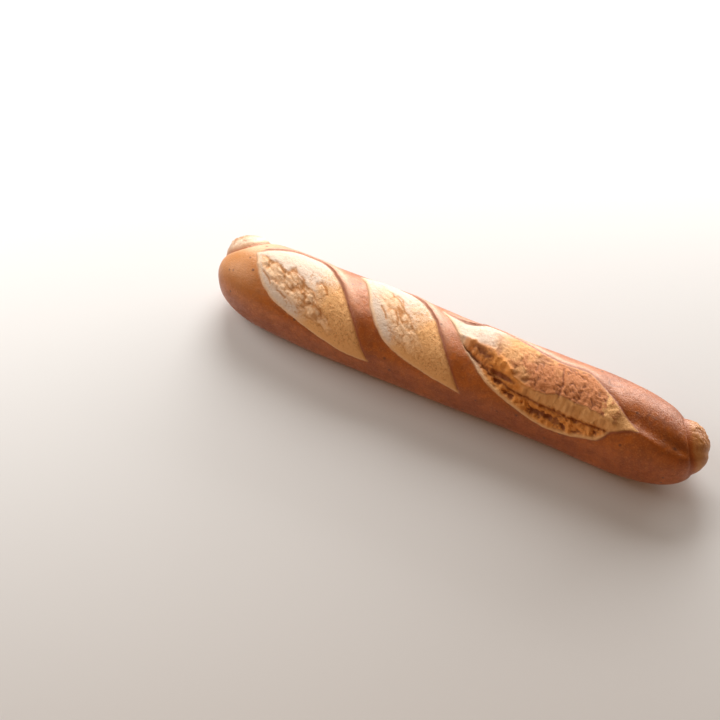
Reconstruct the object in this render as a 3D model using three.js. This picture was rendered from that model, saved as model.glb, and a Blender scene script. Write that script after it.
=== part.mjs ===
// A wheat baguette: one closed, faceted crust with three long scores that opened as it baked.
// Millimetres, +X along the loaf, +Y to its back, +Z up. The origin is on the flat base, under the middle.
import * as THREE from "three";

// The whole loaf
const LENGTH = 450;
const HALF_WIDTHS = [[-225, 34], [-112, 38.2], [0, 37.1], [112, 37.3], [225, 40]]; // [x, mm]
const BEND = [[-225, 2.5], [-112, 0], [0, 0.8], [112, 2.4], [225, -1]]; // [x, mm to the back], of its middle
const HEIGHT = 62;
const RIGHT_EXTRA_HEIGHT = 2.6; // that the crest gains from the middle to the right end
const BELT_HEIGHT = 29; // of the widest level over the base
const BELLY_DEPTH = 31.5; // under that level, before the tray flattens it
const TOP_ROUNDNESS = 2.15; // exponents of the superellipse of the section
const BELLY_ROUNDNESS = 2.9;
const LEFT_END = { length: 80, bluntness: 3.7, lift: 3, back: -2.2 };
const RIGHT_END = { length: 107, bluntness: 2.77, lift: 2.4, back: -3 };

// Round the loaf a place is given in degrees from the crest, plus to the back. A degree is about this long.
const MM_PER_DEGREE = 0.6;

// The scores. Their ends are [x, degrees], and their lines are [share of the length, mm to the back of the
// chord]. A soft tear lies between its edge and its foot. Its lobes are [mm along, mm to the back, radius].
const FIRST_SCORE = {
  start: [-192, 8],
  end: [-63, -81],
  near: [
    [0, 0], [0.07, -6.2], [0.19, -14.9], [0.285, -17.5], [0.4, -17], [0.62, -13.4], [0.85, -8.4], [1, 0],
  ],
  far: [
    [0, 0], [0.04, 11], [0.08, 19.3], [0.14, 30], [0.23, 37], [0.33, 39.5], [0.52, 33], [0.7, 24.2],
    [0.86, 12.2], [1, 0],
  ],
  bulge: 2.4,
  tear: {
    edge: [[0, 0], [0.13, 4.3], [0.23, 7.1], [0.3, 10.4], [0.4, 11.5], [0.5, 10], [0.62, 6], [1, 0]],
    foot: [[0, -3], [0.09, -7.2], [0.2, -10.7], [0.27, -13], [0.43, -10.1], [0.64, -4.1], [1, -2]],
    depth: 2.4,
    opens: [0.02, 0.08],
    closes: [0.6, 0.74],
    lobes: [[12, -3, 5], [27, 0, 6.4], [44, 5, 7], [58, -1, 6.4], [68, 17, 5], [76, 1, 6]],
  },
};
const SECOND_SCORE = {
  start: [-102, 44],
  end: [20, -73],
  near: [
    [0, 0], [0.1, -3.6], [0.24, -12.4], [0.41, -18.7], [0.48, -19.8], [0.65, -16.1], [0.83, -8.9], [1, 0],
  ],
  far: [
    [0, 0], [0.055, 14.5], [0.12, 22.3], [0.24, 29.3], [0.33, 29.3], [0.49, 25.8], [0.69, 17.9],
    [0.84, 10.3], [1, 0],
  ],
  bulge: 2.2,
  tear: {
    edge: [[0, 5], [0.3, 9], [0.5, 6], [1, 0]],
    foot: [[0, -4], [0.3, -9], [0.5, -13], [1, -6]],
    depth: 1.1,
    opens: [0.14, 0.3],
    closes: [0.5, 0.7],
    lobes: [[32, 3, 5], [46, 6, 5.4], [54, -4, 5]],
  },
};
const LONG_SCORE = {
  start: [-24, 40],
  end: [170, -24],
  near: [
    [0, 0], [0.08, -8], [0.167, -18], [0.27, -28.4], [0.36, -36], [0.49, -41.5], [0.64, -44.8],
    [0.75, -39.8], [0.85, -29.5], [0.885, -24.5], [0.91, -14], [1, 0],
  ],
  far: [
    [0, 0], [0.12, 0.6], [0.17, 3.4], [0.205, 10.6], [0.25, 14], [0.32, 13.8], [0.55, 10.4],
    [0.69, 16.4], [0.8, 10.3], [1, 0],
  ],
  ledge: [
    [0, -12], [0.2, -15.5], [0.36, -13.9], [0.41, -17.4], [0.46, -20], [0.54, -21.6], [0.6, -18],
    [0.65, -13.4], [0.76, -9.7], [1, -5.5],
  ],
  foot: [
    [0, -14], [0.2, -21], [0.35, -27.5], [0.53, -30], [0.69, -26], [0.81, -21.5], [0.89, -15.8], [1, -10],
  ],
  fold: [[-14, 129], [-6, 126], [0, 122.5], [5, 119]], // across its shelf: [mm to the back, mm along]
};
const SCORES = [FIRST_SCORE, SECOND_SCORE, LONG_SCORE];

// In the long score: a hollow under the torn ledge, and a flake of crust that stands up past the far edge
const HOLLOW = { share: 0.395, across: -24, length: 0.07, width: 2.4, depth: 2.6 };
const FLAKE = { share: 0.16, length: 0.045, rise: 1.8 };

// How far the parts of an opened score stand off the smooth loaf
const SHELF_RISE = 3.2; // the long score's torn shelf, over the loaf's round
const VALLEY_DEPTH = 4.6; // the floor at the shelf's foot, under the loaf's round
const EAR_RISE = 1.4; // the crust past a score's far edge
const NEAR_DIP = 1.4; // the crust under a score's near edge
const LIP_RISE = 0.7; // the crumb along the near edge
const CREASE_DEPTH = 1.6; // the crumb along the far edge
const CREASE_WIDTH = 2.6;
const EDGE_SOFTNESS = 1.3; // half the width of the step at an edge

// A long, soft furrow and a pinched ridge in the crust of the right end: their lines are [x, degrees], and
// they come and go over two stretches of x.
const FURROW = {
  line: [[140, -10], [175, -14], [215, -19]],
  width: 7.5,
  height: -2.2,
  comes: [142, 165],
  goes: [222, 206],
};
const PINCH = {
  line: [[160, -23], [172, -26], [190, -31]],
  width: 3.2,
  height: 1.2,
  comes: [158, 166],
  goes: [196, 178],
};

// The pinched tails of the dough, one on the shoulder of each end. Each leans, folds and stretches to its
// fold side.
const LEFT_TAIL = {
  centre: [-208, 20, 35.5],
  direction: [-0.548, 0.751, 0.402],
  foldSide: [-1, -0.2, 0.1],
  radius: 21,
  stretch: 1,
  rise: 7.2,
  lean: 0.12,
  neck: 1,
  folds: 3.6,
  waist: 0,
};
const RIGHT_TAIL = {
  centre: [213.5, 5.5, 37],
  direction: [0.88, 0.35, 0.22],
  foldSide: [-0.45, 0.83, 0.33],
  radius: 15,
  stretch: 1.55,
  rise: 6,
  lean: 0.3,
  neck: 1,
  folds: 4,
  waist: 1.3, // mm deep, across the tail towards its low end
};
const TAILS = [LEFT_TAIL, RIGHT_TAIL];
const TAIL_REACH = [-16, -8]; // a tail lifts what lies past these depths under its centre

// The facets: rings along the loaf, and points round each ring, closer together over the scores
const RINGS = 130;
const POINTS_ROUND = 45;
const RING_CROWDING = 0.3; // how far the rings draw together towards the tips
const SCORED_BAND = { from: -98, to: 72, fade: 15 }; // degrees
const BELLY_SHARE = 0.28; // how many points the belly has, against the scored band
const RING_SLANT = 38; // mm that the rings lean with the scores
const SLANT_FADE = 110; // mm from a tip over which they straighten up

const HALF = LENGTH / 2;
const radians = (degrees) => (degrees * Math.PI) / 180;
const clamp = (value, low, high) => Math.min(Math.max(value, low), high);
const bell = (value, width) => Math.exp(-((value / width) ** 2));

// A smooth rise from 0 at a to 1 at b
function ramp(a, b, value) {
  const t = clamp((value - a) / (b - a), 0, 1);
  return t * t * (3 - 2 * t);
}

// A smooth curve through knots [place, value]. Its slope at a knot is that between the knot's neighbours.
function curve(knots, place) {
  const last = knots.length - 1;
  const p = clamp(place, knots[0][0], knots[last][0]);
  let i = 0;
  while (i < last - 1 && p > knots[i + 1][0]) i++;
  const slope = (k) => {
    const a = knots[Math.max(k - 1, 0)];
    const b = knots[Math.min(k + 1, last)];
    return (b[1] - a[1]) / (b[0] - a[0]);
  };
  const span = knots[i + 1][0] - knots[i][0];
  const u = (p - knots[i][0]) / span;
  const rise = u * u * (3 - 2 * u);
  const leave = u * (1 - u) * (1 - u) * span * slope(i);
  const arrive = u * u * (1 - u) * span * slope(i + 1);
  return knots[i][1] + (knots[i + 1][1] - knots[i][1]) * rise + leave - arrive;
}

// A fixed number from 0 to 1 for each corner of a unit lattice
function cornerValue(i, j, k, seed) {
  let h = Math.imul(i, 374761393) ^ Math.imul(j, 668265263);
  h ^= Math.imul(k, 2246822519) ^ Math.imul(seed, 3266489917);
  h = Math.imul(h ^ (h >>> 15), 2246822507);
  h = Math.imul(h ^ (h >>> 13), 3266489909);
  return ((h ^ (h >>> 16)) & 0xffffff) / 0xffffff;
}

// Smooth noise from -1 to 1, with features about one unit across
function noise(x, y, z, seed) {
  const [i, j, k] = [x, y, z].map(Math.floor);
  const [u, v, w] = [x - i, y - j, z - k].map((t) => t ** 3 * (t * (t * 6 - 15) + 10));
  let sum = 0;
  for (const a of [0, 1])
    for (const b of [0, 1])
      for (const c of [0, 1])
        sum += cornerValue(i + a, j + b, k + c, seed) * (a ? u : 1 - u) * (b ? v : 1 - v) * (c ? w : 1 - w);
  return 2 * sum - 1;
}

// Ridges with pits between them, from 0 to 1, in three sizes, each half the one before
function ridges(x, y, z, seed) {
  const size = (scale, octave) => 1 - Math.abs(noise(x * scale, y * scale, z * scale, seed + octave));
  return (4 * size(1, 0) + 2 * size(2, 1) + size(4, 2)) / 7;
}

// The loaf before it opened: a superellipse section that closes to a blunt dome at each end
function smoothLoaf(x, degrees) {
  const left = 1 - clamp((x + HALF) / LEFT_END.length, 0, 1);
  const right = 1 - clamp((HALF - x) / RIGHT_END.length, 0, 1);
  const fullness = Math.sqrt((1 - left ** LEFT_END.bluntness) * (1 - right ** RIGHT_END.bluntness));
  const side = Math.sin(radians(degrees));
  const up = Math.cos(radians(degrees));
  const power = 2 / (up >= 0 ? TOP_ROUNDNESS : BELLY_ROUNDNESS);
  const crest = (HEIGHT + RIGHT_EXTRA_HEIGHT * clamp(x / HALF, 0, 1) - BELT_HEIGHT) * fullness;
  const reach = up >= 0 ? crest : -BELLY_DEPTH * fullness ** 0.9;
  const out = curve(HALF_WIDTHS, x) * fullness * Math.sign(side) * Math.abs(side) ** power;
  const back = curve(BEND, x) + LEFT_END.back * left ** 2 + RIGHT_END.back * right ** 2;
  const lift = LEFT_END.lift * left ** 2 + RIGHT_END.lift * right ** 2;
  return new THREE.Vector3(x, out + back, BELT_HEIGHT + lift + reach * Math.abs(up) ** power);
}

// A place in a score: its share of the length, mm to the back of the chord, and how far in from each edge
function placeInScore(score, x, degrees) {
  const rise = (score.end[1] - score.start[1]) * MM_PER_DEGREE;
  const run = new THREE.Vector2(score.end[0] - score.start[0], rise);
  const length = run.length();
  run.normalize();
  const from = new THREE.Vector2(x - score.start[0], (degrees - score.start[1]) * MM_PER_DEGREE);
  const share = from.dot(run) / length;
  const across = run.cross(from);
  const step = 0.004;
  const tilt = (edge) => {
    const change = curve(edge, share + step) - curve(edge, share - step);
    return Math.hypot(1, change / (2 * step * length));
  };
  const ragged = 0.5 * noise(x / 6, (degrees * MM_PER_DEGREE) / 6, 0.5, 31);
  const fromNear = (across - curve(score.near, share)) / tilt(score.near) + ragged;
  const fromFar = (curve(score.far, share) - across) / tilt(score.far) + ragged;
  const beyond = Math.max(-share, share - 1, 0) * length;
  const inside = beyond > 0 ? -Math.hypot(beyond, across) : Math.min(fromNear, fromFar);
  return { share, across, flow: share * length, q: clamp(share, 0, 1), fromNear, fromFar, inside };
}

// A place in a score, moved by up to 1.6 mm of noise, so that no pattern runs straight
function warped(at, seed, size) {
  const shift = (offset, start) => 1.6 * noise(at.flow / size, at.across / size, offset, start + seed);
  return [at.flow + shift(3.3, 40), at.across + shift(8.3, 50)];
}

// The tear in the first two scores: a pit of puckered crumb under a scalloped edge. Each lobe is a dome
// with a crease over its far side.
function softTear(score, at, seed) {
  const { edge, foot, depth, opens, closes, lobes } = score.tear;
  const opened = ramp(...opens, at.share) * (1 - ramp(...closes, at.share));
  const wide = 1.8 * noise(at.flow / 8, 0.5, 1.5, 74 + seed);
  const narrow = 0.7 * noise(at.flow / 3, 0.5, 4.5, 76 + seed);
  const underEdge = curve(edge, at.q) + wide + narrow - at.across;
  const width = Math.max(curve(edge, at.q) - curve(foot, at.q), 4);
  const pit = ramp(0, 2, underEdge) * (1 - ramp(0.45 * width, width, underEdge)) * opened;
  const band = ramp(-0.4, 1.2, underEdge) * (1 - ramp(0.85 * width, 1.15 * width, underEdge));
  const torn = band * opened * ramp(1.5, 5, at.fromNear) * ramp(2, 5, at.fromFar);
  const [flow, across] = warped(at, seed, 7);
  const large = Math.abs(noise(flow / 8, across / 4.4, 1.1, 61 + seed));
  const small = Math.abs(noise(flow / 3.6, across / 2.4, 2.3, 88 + seed));
  let dome = 0;
  let crease = 0;
  for (const [lobeAlong, lobeAcross, radius] of lobes) {
    const r = Math.hypot((flow - lobeAlong) / 1.35, across - lobeAcross) / radius + 0.35 * (small - 0.3);
    const farSide = ramp(-0.4, 0.5, (across - lobeAcross) / radius);
    crease = Math.max(crease * ramp(0.6, 1, r), bell(r - 1.05, 0.19) * farSide);
    dome = Math.max(dome, (1 - Math.min(r, 1) ** 2) ** 0.8);
  }
  crease *= ramp(1.5, 4, at.fromNear) * ramp(2, 5, at.fromFar) * opened;
  const pucker = 1.3 * (large + 0.5 * small - 0.45) * torn * (1 - 0.5 * dome);
  return depth * (pucker + 0.3 * dome * opened - 0.5 * crease - 0.35 * pit);
}

// The long score's tear: a raised shelf with a fold across it, a flaky wall with a hollow in it down from
// the shelf's ledge, and a cragged floor out to the near edge
function deepTear(score, at) {
  const opened = ramp(0.12, 0.22, at.share) * (1 - ramp(0.86, 0.94, at.share));
  const ragged = 2 * noise(at.flow / 9, 0.5, 1.5, 71) + 1.3 * noise(at.flow / 3.4, 0.5, 4.5, 72);
  const overLedge = at.across - curve(score.ledge, at.q) + ragged;
  const wall = Math.max(curve(score.ledge, at.q) - curve(score.foot, at.q), 2);
  const upWall = clamp(1 + overLedge / wall, 0, 1);
  const shelf = SHELF_RISE * (1 - 0.45 * ramp(8, 26, overLedge)) + 0.7 * bell(overLedge - 0.6, 1.6);
  let height = -VALLEY_DEPTH + (shelf + VALLEY_DEPTH) * upWall ** 1.4 - 1.2 * bell(overLedge + wall, 1.6);
  const fromFoot = Math.max(-(overLedge + wall), 0);
  const fromNear = Math.max(at.fromNear, 0);
  height += (VALLEY_DEPTH - 0.3) * ramp(0, 1, fromFoot / (fromNear + fromFoot + 1e-6)) ** 1.2;

  const [flow, across] = warped(at, 3, 6);
  const onFloor = ramp(0, 3, -(overLedge + wall * 0.7)) * ramp(1, 5, at.fromNear);
  const strands = ridges(flow / 13, across / 5, 9.1, 63) - 0.6;
  const flakyPart = ramp(0.14, 0.22, at.share) * ramp(0.56, 0.42, at.share);
  const flaky = bell(overLedge + wall * 0.4, 0.6 * wall) * flakyPart;
  const flakes = ridges(flow / 10, across / 4.5, 5.3, 87) - 0.6;
  const onShelf = ramp(-0.5, 1, overLedge) * ramp(0.16, 0.44, at.share) * ramp(0.5, 3, at.fromFar);
  const wrinkles = ridges(flow / 9, across / 7, 2.1, 65) - 0.6;
  height += 7 * onFloor * strands + 6 * flaky * flakes + 1.2 * onShelf * wrinkles;

  const besideFold = ramp(3, 0, Math.abs(at.across + 4.5) - 9.5);
  const fromFold = at.flow - curve(score.fold, at.across) + 1.2 * noise(across / 4, 0.5, 7.5, 89);
  height += 0.9 * besideFold * (bell(fromFold - 3, 2.6) - bell(fromFold + 0.3, 0.9));
  const alongHollow = bell(at.share - HOLLOW.share, HOLLOW.length);
  height -= HOLLOW.depth * alongHollow * bell(at.across - HOLLOW.across, HOLLOW.width);
  return opened * height;
}

// How far the crust and the opened scores stand off the smooth loaf
function relief(x, degrees, place) {
  const lumps = (size, seed) => noise(place.x / (1.2 * size), place.y / size, place.z / size, seed);
  let height = 0.6 * lumps(40, 5) + 0.3 * lumps(20, 6) + 0.25 * lumps(13, 9);
  for (const { line, width, height: standsOff, comes, goes } of [FURROW, PINCH]) {
    const offLine = (degrees - curve(line, x)) * MM_PER_DEGREE;
    height += standsOff * bell(offLine, width) * ramp(...comes, x) * ramp(...goes, x);
  }
  SCORES.forEach((score, index) => {
    const at = placeInScore(score, x, degrees);
    const taper = Math.sqrt(4 * at.q * (1 - at.q));
    const fromNear = Math.max(at.fromNear, 0);
    const fromFar = Math.max(at.fromFar, 0);
    const middle = fromNear / (fromNear + fromFar + 1e-6);
    const ear = at.fromFar < 3 ? bell(at.fromFar + 3.5, 5) : 0;
    const dip = at.fromNear < at.fromFar ? Math.exp(-Math.max(-at.fromNear, 0) / 5) : 0;
    let crust = taper * (EAR_RISE * ear - NEAR_DIP * dip);
    let crumb = LIP_RISE * Math.exp(-fromNear / 5) - CREASE_DEPTH * Math.exp(-fromFar / CREASE_WIDTH);
    if (score === LONG_SCORE) {
      const stands = bell(at.share - FLAKE.share, FLAKE.length) * bell(at.fromFar + 1, 1.6);
      crust += FLAKE.rise * stands * (1 + 0.5 * noise(at.flow / 3, 0.5, 2.5, 91));
      crumb = crumb * taper + deepTear(score, at);
    } else {
      crumb += score.bulge * (4 * middle * (1 - middle)) ** 0.7;
      crumb = crumb * taper + softTear(score, at, index);
    }
    const opened = ramp(-EDGE_SOFTNESS, EDGE_SOFTNESS, at.inside);
    height = height * (1 - 0.5 * opened) + crumb * opened + crust * (1 - opened);
  });
  return height * ramp(0, 12, HALF - Math.abs(x));
}

// A tail: what lies within its radius is lifted along its direction to a blunt, folded button over a crease
function liftTail(point, tail) {
  const direction = new THREE.Vector3(...tail.direction).normalize();
  const foldSide = new THREE.Vector3(...tail.foldSide).projectOnPlane(direction).normalize();
  const out = point.clone().sub(new THREE.Vector3(...tail.centre));
  const depth = out.dot(direction);
  out.addScaledVector(direction, -depth);
  const toFold = out.dot(foldSide) / tail.stretch;
  const along = out.dot(foldSide.clone().cross(direction));
  const distance = Math.hypot(toFold, along);
  const r = distance / tail.radius;
  const button = (1 - Math.min(r, 1) ** 3) ** 0.55 * (1 + tail.lean * (toFold / tail.radius - 0.3));
  const neck = bell(Math.max(r, 1) - 1.12, 0.3) * ramp(0.55, 1, r);
  const folded = ramp(-0.1, 0.9, toFold / (distance + 1e-6)) * bell(r - 0.72, 0.3);
  const fold = ridges(toFold / 5.5, along / 3, depth / 9, 81) - 0.66;
  const grooves = 1.4 * bell(r - 1.04, 0.09) + tail.waist * bell(toFold + 4, 2.4) * ramp(1.1, 0.9, r);
  const lift = tail.rise * button - tail.neck * neck - grooves + tail.folds * folded * fold;
  point.addScaledVector(direction, lift * ramp(...TAIL_REACH, depth));
}

// The outward direction of the smooth loaf at a place
function outward(x, degrees, place) {
  const step = 0.5;
  const after = smoothLoaf(Math.min(x + step, HALF), degrees);
  const lengthways = after.sub(smoothLoaf(Math.max(x - step, -HALF), degrees));
  const round = smoothLoaf(x, degrees + step).sub(smoothLoaf(x, degrees - step));
  const normal = lengthways.cross(round).normalize();
  return normal.dot(new THREE.Vector3(0, place.y, place.z - BELT_HEIGHT)) < 0 ? normal.negate() : normal;
}

// A point of the crust. What would reach below the tray is pressed flat.
function crustPoint(x, degrees) {
  const point = smoothLoaf(x, degrees);
  point.addScaledVector(outward(x, degrees, point), relief(x, degrees, point));
  for (const tail of TAILS) liftTail(point, tail);
  point.z = Math.max(point.z, 0);
  return point;
}

// The angles of the points round a ring, closer together in the scored band
function anglesRound() {
  const samples = 1440;
  const { from, to, fade } = SCORED_BAND;
  const angle = (i) => -180 + (360 * i) / samples;
  const total = [0];
  for (let i = 0; i < samples; i++) {
    const band = ramp(from - fade, from, angle(i)) * (1 - ramp(to, to + fade, angle(i)));
    total.push(total[i] + BELLY_SHARE + (1 - BELLY_SHARE) * band);
  }
  const wanted = (j) => (total[samples] * j) / POINTS_ROUND;
  return Array.from({ length: POINTS_ROUND }, (_, j) => angle(total.findIndex((sum) => sum >= wanted(j))));
}

// The whole crust as one closed surface: rings that lean with the scores, and a fan at each tip
function loafGeometry() {
  const angles = anglesRound();
  const points = [];
  for (let ring = 1; ring <= RINGS; ring++) {
    const t = (2 * ring) / (RINGS + 1) - 1;
    const middle = HALF * ((1 - RING_CROWDING) * t + RING_CROWDING * Math.sin((Math.PI / 2) * t));
    const slant = RING_SLANT * ramp(0, SLANT_FADE, HALF - Math.abs(middle));
    for (const angle of angles) points.push(crustPoint(middle - slant * Math.sin(radians(angle)), angle));
  }
  const leftTip = points.push(crustPoint(-HALF, 0)) - 1;
  const rightTip = points.push(crustPoint(HALF, 0)) - 1;
  const faceNormal = (a, b, c) => {
    const ab = points[b].clone().sub(points[a]);
    return ab.cross(points[c].clone().sub(points[a])).normalize();
  };
  const faces = [];
  const lastRing = (RINGS - 1) * POINTS_ROUND;
  for (let j = 0; j < POINTS_ROUND; j++) {
    const next = (j + 1) % POINTS_ROUND;
    for (let start = 0; start < lastRing; start += POINTS_ROUND) {
      const [a, b] = [start + j, start + POINTS_ROUND + j];
      const [c, d] = [start + POINTS_ROUND + next, start + next];
      // Each quad is split along the diagonal that creases it less.
      const acrossAC = faceNormal(a, b, c).dot(faceNormal(a, c, d));
      const acrossBD = faceNormal(a, b, d).dot(faceNormal(b, c, d));
      faces.push(...(acrossAC > acrossBD ? [a, b, c, a, c, d] : [a, b, d, b, c, d]));
    }
    faces.push(leftTip, j, next);
    faces.push(rightTip, lastRing + next, lastRing + j);
  }
  const geometry = new THREE.BufferGeometry().setFromPoints(points);
  geometry.setIndex(faces);
  geometry.computeBoundingBox();
  const middle = geometry.boundingBox.getCenter(new THREE.Vector3());
  geometry.translate(-middle.x, -middle.y, 0);
  geometry.computeVertexNormals();
  return geometry;
}

const crust = new THREE.MeshStandardMaterial({ color: 0xb0693a, roughness: 0.55, metalness: 0 });
const loaf = new THREE.Mesh(loafGeometry(), crust);
loaf.name = "baguette";

const baguette = new THREE.Group();
baguette.add(loaf);
export default baguette;
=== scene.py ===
"""A bare wheat baguette on a pale studio floor: one browned crust with three long scores that opened as it baked.

The loaf is one closed surface. A smooth blunt-ended loaf is worked out from its width, height and bend, and then
the crust's lumps, the opened scores with their crags, and the pinched tails of the dough are added as relief.
Sizes in the formulas are millimetres, and are turned to metres where the mesh is made.
"""

import bpy
import numpy as np
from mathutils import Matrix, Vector


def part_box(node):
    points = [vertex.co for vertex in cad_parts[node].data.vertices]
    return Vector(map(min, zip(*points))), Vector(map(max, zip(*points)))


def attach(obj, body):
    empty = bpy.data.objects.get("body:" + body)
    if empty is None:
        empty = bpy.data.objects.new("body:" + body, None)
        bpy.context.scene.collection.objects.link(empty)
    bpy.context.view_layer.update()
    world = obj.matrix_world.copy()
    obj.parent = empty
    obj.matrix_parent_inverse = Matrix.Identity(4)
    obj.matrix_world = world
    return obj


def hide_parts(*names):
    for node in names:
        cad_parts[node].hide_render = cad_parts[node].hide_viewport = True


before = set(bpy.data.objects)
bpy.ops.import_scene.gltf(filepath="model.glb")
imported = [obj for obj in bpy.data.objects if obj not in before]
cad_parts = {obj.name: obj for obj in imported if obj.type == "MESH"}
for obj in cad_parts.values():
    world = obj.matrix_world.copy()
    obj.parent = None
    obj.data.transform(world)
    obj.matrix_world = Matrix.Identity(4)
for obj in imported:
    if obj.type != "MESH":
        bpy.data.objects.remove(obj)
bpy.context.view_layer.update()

MM = 0.001

# The whole loaf
LENGTH = 450  # without the tails
HALF = LENGTH / 2
HALF_WIDTHS = [(-225, 34), (-112, 38.2), (0, 37.1), (112, 37.3), (225, 40)]  # (x, mm) along the loaf
BEND = [(-225, 2.5), (-112, 0), (0, 0.8), (112, 2.4), (225, -1)]  # (x, mm to the back) of its middle line
HEIGHT = 62
RIGHT_EXTRA_HEIGHT = 2.6  # that the crest gains from the middle to the right end
BELT_HEIGHT = 29  # of the widest level over the base
BELLY_DEPTH = 31.5  # under that level, before the tray flattens it
TOP_ROUNDNESS = 2.15  # exponents of the superellipse of the section
BELLY_ROUNDNESS = 2.9
LEFT_END = dict(length=80, bluntness=3.7, lift=3, back=-2.2)
RIGHT_END = dict(length=107, bluntness=2.77, lift=2.4, back=-3)
MM_PER_DEGREE = 0.6  # round the crust; a place there is in degrees from the crest, plus to the back

# The scores. Their ends are (x, degrees). Their lines are (share of the length, mm to the back of the chord).
FIRST_SCORE = dict(
    start=(-192, 8),
    end=(-63, -81),
    near=[(0, 0), (0.07, -6.2), (0.19, -14.9), (0.285, -17.5), (0.4, -17), (0.62, -13.4), (0.85, -8.4), (1, 0)],
    far=[
        (0, 0), (0.04, 11), (0.08, 19.3), (0.14, 30), (0.23, 37), (0.33, 39.5), (0.52, 33), (0.7, 24.2),
        (0.86, 12.2), (1, 0),
    ],
    bulge=2.4,
    tear=dict(
        edge=[(0, 0), (0.13, 4.3), (0.23, 7.1), (0.3, 10.4), (0.4, 11.5), (0.5, 10), (0.62, 6), (1, 0)],
        foot=[(0, -3), (0.09, -7.2), (0.2, -10.7), (0.27, -13), (0.43, -10.1), (0.64, -4.1), (1, -2)],
        depth=2.4,
        opens=(0.02, 0.08),
        closes=(0.6, 0.74),
        lobes=[(12, -3, 5), (27, 0, 6.4), (44, 5, 7), (58, -1, 6.4), (68, 17, 5), (76, 1, 6)],
    ),
)
SECOND_SCORE = dict(
    start=(-102, 44),
    end=(20, -73),
    near=[(0, 0), (0.1, -3.6), (0.24, -12.4), (0.41, -18.7), (0.48, -19.8), (0.65, -16.1), (0.83, -8.9), (1, 0)],
    far=[
        (0, 0), (0.055, 14.5), (0.12, 22.3), (0.24, 29.3), (0.33, 29.3), (0.49, 25.8), (0.69, 17.9),
        (0.84, 10.3), (1, 0),
    ],
    bulge=2.2,
    tear=dict(
        edge=[(0, 5), (0.3, 9), (0.5, 6), (1, 0)],
        foot=[(0, -4), (0.3, -9), (0.5, -13), (1, -6)],
        depth=1.1,
        opens=(0.14, 0.3),
        closes=(0.5, 0.7),
        lobes=[(32, 3, 5), (46, 6, 5.4), (54, -4, 5)],
    ),
)
LONG_SCORE = dict(
    start=(-24, 40),
    end=(170, -24),
    near=[
        (0, 0), (0.08, -8), (0.167, -18), (0.27, -28.4), (0.36, -36), (0.49, -41.5), (0.64, -44.8),
        (0.75, -39.8), (0.85, -29.5), (0.885, -24.5), (0.91, -14), (1, 0),
    ],
    far=[
        (0, 0), (0.12, 0.6), (0.17, 3.4), (0.205, 10.6), (0.25, 14), (0.32, 13.8), (0.55, 10.4),
        (0.69, 16.4), (0.8, 10.3), (1, 0),
    ],
    ledge=[
        (0, -12), (0.2, -15.5), (0.36, -13.9), (0.41, -17.4), (0.46, -20), (0.54, -21.6), (0.6, -18), (0.65, -13.4),
        (0.76, -9.7), (1, -5.5),
    ],
    foot=[(0, -14), (0.2, -21), (0.35, -27.5), (0.53, -30), (0.69, -26), (0.81, -21.5), (0.89, -15.8), (1, -10)],
    fold=[(-14, 129), (-6, 126), (0, 122.5), (5, 119)],
)
SCORES = [FIRST_SCORE, SECOND_SCORE, LONG_SCORE]

# One hollow under the long score's torn ledge, and one flake of crust that stands up past its far edge. Where they
# are along the score, and how long, are shares of its length. The rest is mm.
HOLLOW = dict(share=0.395, across=-24, length=0.07, width=2.4, depth=2.6)
FLAKE = dict(share=0.16, length=0.045, rise=1.8)

# How far the scores' parts stand off the loaf's round, in mm
SHELF_RISE = 3.2  # the long score's torn shelf, over the loaf's round
VALLEY_DEPTH = 4.6  # the floor at the shelf's foot, under the loaf's round
EAR_RISE = 1.4  # the crust past a score's far edge
NEAR_DIP = 1.4  # the crust under a score's near edge
LIP_RISE = 0.7  # the crumb along the near edge
CREASE_DEPTH = 1.6  # the crumb along the far edge
CREASE_WIDTH = 1.6
EDGE_SOFTNESS = 0.7  # half the width of the step at an edge

# The pinched tails of the dough, one on the shoulder of each end. Each leans, folds and stretches to its fold side.
LEFT_TAIL = dict(
    centre=(-208, 20, 35.5),
    direction=(-0.548, 0.751, 0.402),
    fold_side=(-1, -0.2, 0.1),
    radius=21,
    stretch=1,
    rise=7.2,
    lean=0.12,
    neck=1,
    folds=3.6,
    waist=0,
)
RIGHT_TAIL = dict(
    centre=(213.5, 5.5, 37),
    direction=(0.88, 0.35, 0.22),
    fold_side=(-0.45, 0.83, 0.33),
    radius=15,
    stretch=1.55,
    rise=6,
    lean=0.3,
    neck=1,
    folds=4,
    waist=1.3,  # mm deep, across the tail towards its low end
)
TAIL_REACH = (-16, -8)  # a tail lifts what lies past these mm along its direction from its centre
TAIL_PAINTED = (-26, -16)  # and its colour comes with these

# The mesh: rings along the loaf, and points round each ring, closer together over the scores
RINGS = 624
POINTS_ROUND = 158
RING_CROWDING = 0.3  # how far the rings draw together towards the tips
SCORED_BAND = dict(start=-98, end=72, fade=15)  # degrees
BELLY_SHARE = 0.28  # how many points the belly has, against the scored band
RING_SLANT = 38  # mm that the rings lean with the scores
SLANT_FADE = 110  # mm from a tip over which they straighten up
INSET = 0.9995  # how far the loaf is drawn in, so that it stays inside the solid's box

# Long, soft swells of the crust: lines of (x, degrees), mm that they stand off, and the x where they come and go
FURROW = dict(line=[(140, -10), (175, -14), (215, -19)], width=7.5, height=-2.2, comes=(142, 165), goes=(222, 206))
PINCH = dict(line=[(160, -23), (172, -26), (190, -31)], width=3.2, height=1.2, comes=(158, 166), goes=(196, 178))

# The traits painted on the mesh, about 0 to 1 each
TRAITS = (
    "crumb", "gold", "toasted", "porous", "shelf", "wrinkled", "torn", "pit_shade", "streaks", "crease_brown_and_shade", "lip_and_highlight", "ear_and_highlight",
    "cracks", "dark_bake_and_shade", "pale_end", "top_highlight", "back_shade", "left_tail", "right_tail", "tail_face", "tail_edge",
    "tail_folds",
)

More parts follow.
